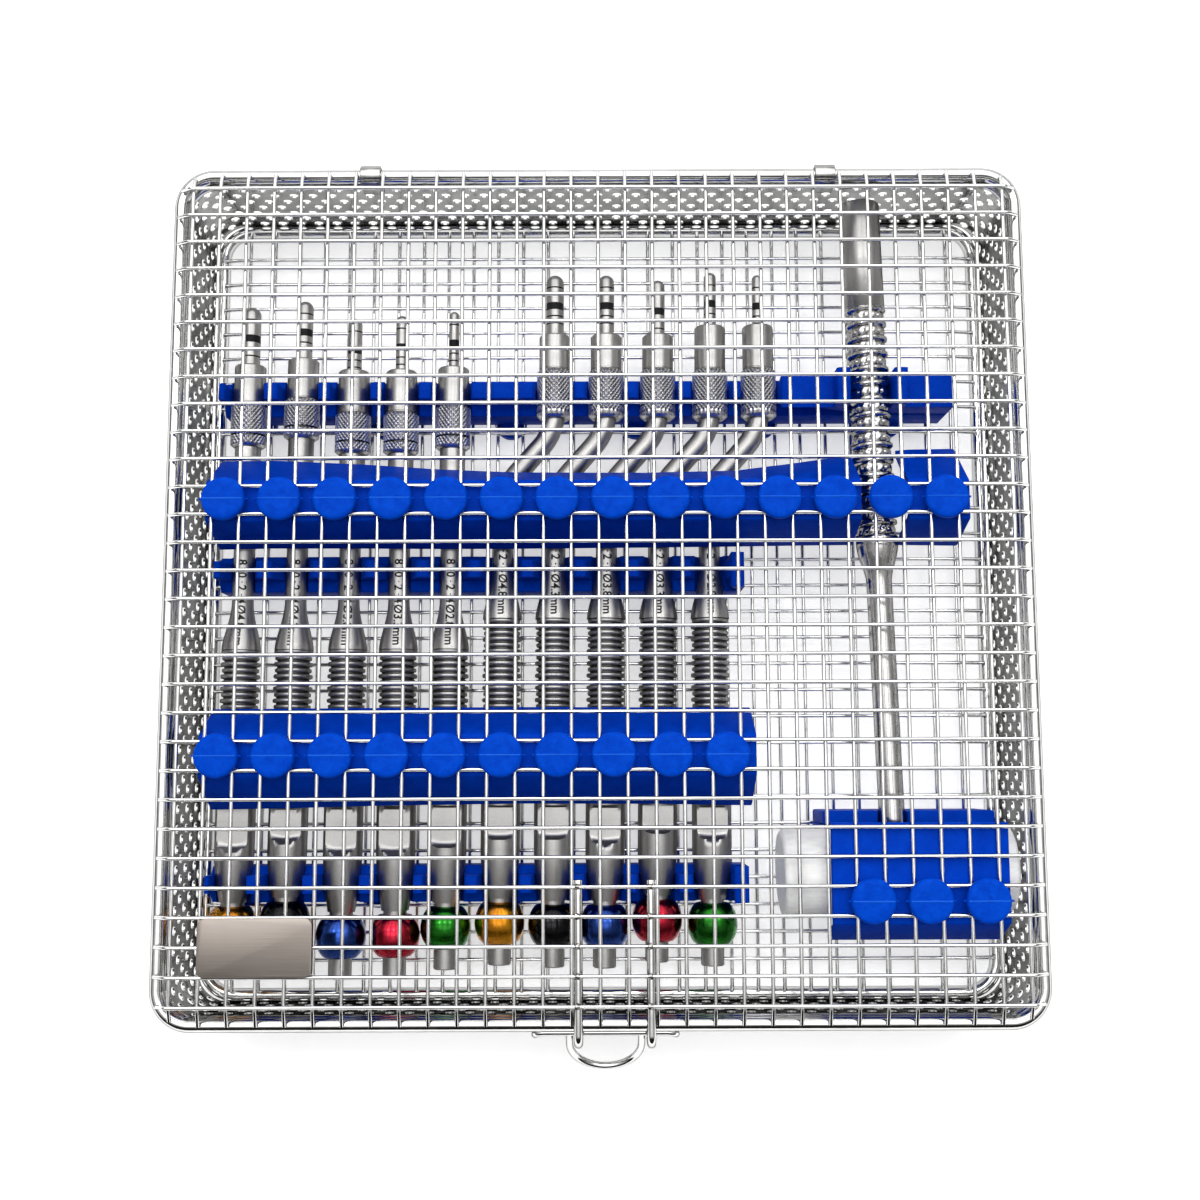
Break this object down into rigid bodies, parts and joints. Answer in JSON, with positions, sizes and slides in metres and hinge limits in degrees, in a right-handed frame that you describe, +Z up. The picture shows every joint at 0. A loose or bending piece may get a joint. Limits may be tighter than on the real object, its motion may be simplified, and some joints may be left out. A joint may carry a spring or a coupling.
{
  "type": "dental instrument cassette",
  "caption": "Stainless wire-mesh sterilisation cassette, hinged lid with a bail latch and silicone strips, holding straight and bent osteotomes and a small mallet.",
  "frame": {"origin": "on the table plane, under the middle of the closed cassette's bounding box", "axes": "+Z up, +Y from the latch towards the hinges, +X to the right seen from the latch"},
  "size_m": [0.2214, 0.2324, 0.0427],
  "materials": {
    "polished_wire": "electropolished",
    "perforated_sheet": "electropolished",
    "plate_steel": "brushed",
    "instrument_steel": "satin",
    "blue_silicone": "matte",
    "nylon": "matte",
    "ball_gold": "anodised",
    "ball_black": "anodised",
    "ball_blue": "anodised",
    "ball_red": "anodised",
    "ball_green": "anodised"
  },
  "bodies": {
    "base": {"base_rim_rod": "polished_wire", "base_floor_rod": "polished_wire", "floor_long_wires": "polished_wire", "floor_cross_wires": "polished_wire", "wall_left": "perforated_sheet", "wall_right": "perforated_sheet", "wall_front": "perforated_sheet", "wall_back": "perforated_sheet", "wall_corners": "perforated_sheet", "hinge_strap_left": "polished_wire", "hinge_strap_right": "polished_wire", "rack_back": "blue_silicone", "rack_middle": "blue_silicone", "rack_front": "blue_silicone", "mallet_rack": "blue_silicone", "osteotome_straight_1": "instrument_steel", "depth_stop_straight_1": "instrument_steel", "colour_ball_straight_1": "ball_gold", "osteotome_straight_2": "instrument_steel", "depth_stop_straight_2": "instrument_steel", "colour_ball_straight_2": "ball_black", "osteotome_straight_3": "instrument_steel", "depth_stop_straight_3": "instrument_steel", "colour_ball_straight_3": "ball_blue", "osteotome_straight_4": "instrument_steel", "depth_stop_straight_4": "instrument_steel", "colour_ball_straight_4": "ball_red", "osteotome_straight_5": "instrument_steel", "depth_stop_straight_5": "instrument_steel", "colour_ball_straight_5": "ball_green", "osteotome_bent_1": "instrument_steel", "depth_stop_bent_1": "instrument_steel", "colour_ball_bent_1": "ball_gold", "osteotome_bent_2": "instrument_steel", "depth_stop_bent_2": "instrument_steel", "colour_ball_bent_2": "ball_black", "osteotome_bent_3": "instrument_steel", "depth_stop_bent_3": "instrument_steel", "colour_ball_bent_3": "ball_blue", "osteotome_bent_4": "instrument_steel", "depth_stop_bent_4": "instrument_steel", "colour_ball_bent_4": "ball_red", "osteotome_bent_5": "instrument_steel", "depth_stop_bent_5": "instrument_steel", "colour_ball_bent_5": "ball_green", "mallet_handle": "instrument_steel", "mallet_core": "instrument_steel", "mallet_face_left": "nylon", "mallet_face_right": "nylon"},
    "lid": {"lid_frame_rod": "polished_wire", "lid_long_wires": "polished_wire", "lid_cross_wires": "polished_wire", "latch_eye_left": "polished_wire", "latch_eye_right": "polished_wire", "name_plate": "plate_steel", "lid_strip_back": "blue_silicone", "lid_strip_front": "blue_silicone", "lid_strip_mallet": "blue_silicone"},
    "latch": {"latch_bail": "polished_wire"}
  },
  "joints": [
    {"name": "lid_hinge", "type": "hinge", "parent": "base", "child": "lid", "pos_m": [0, 0.11337, 0.03435], "axis": [-1, 0, 0], "range_deg": [0, 130]},
    {"name": "latch_bail_pivot", "type": "hinge", "parent": "lid", "child": "latch", "pos_m": [0.0012, -0.10555, 0.03245], "axis": [-1, 0, 0], "range_deg": [0, 105]}
  ]
}
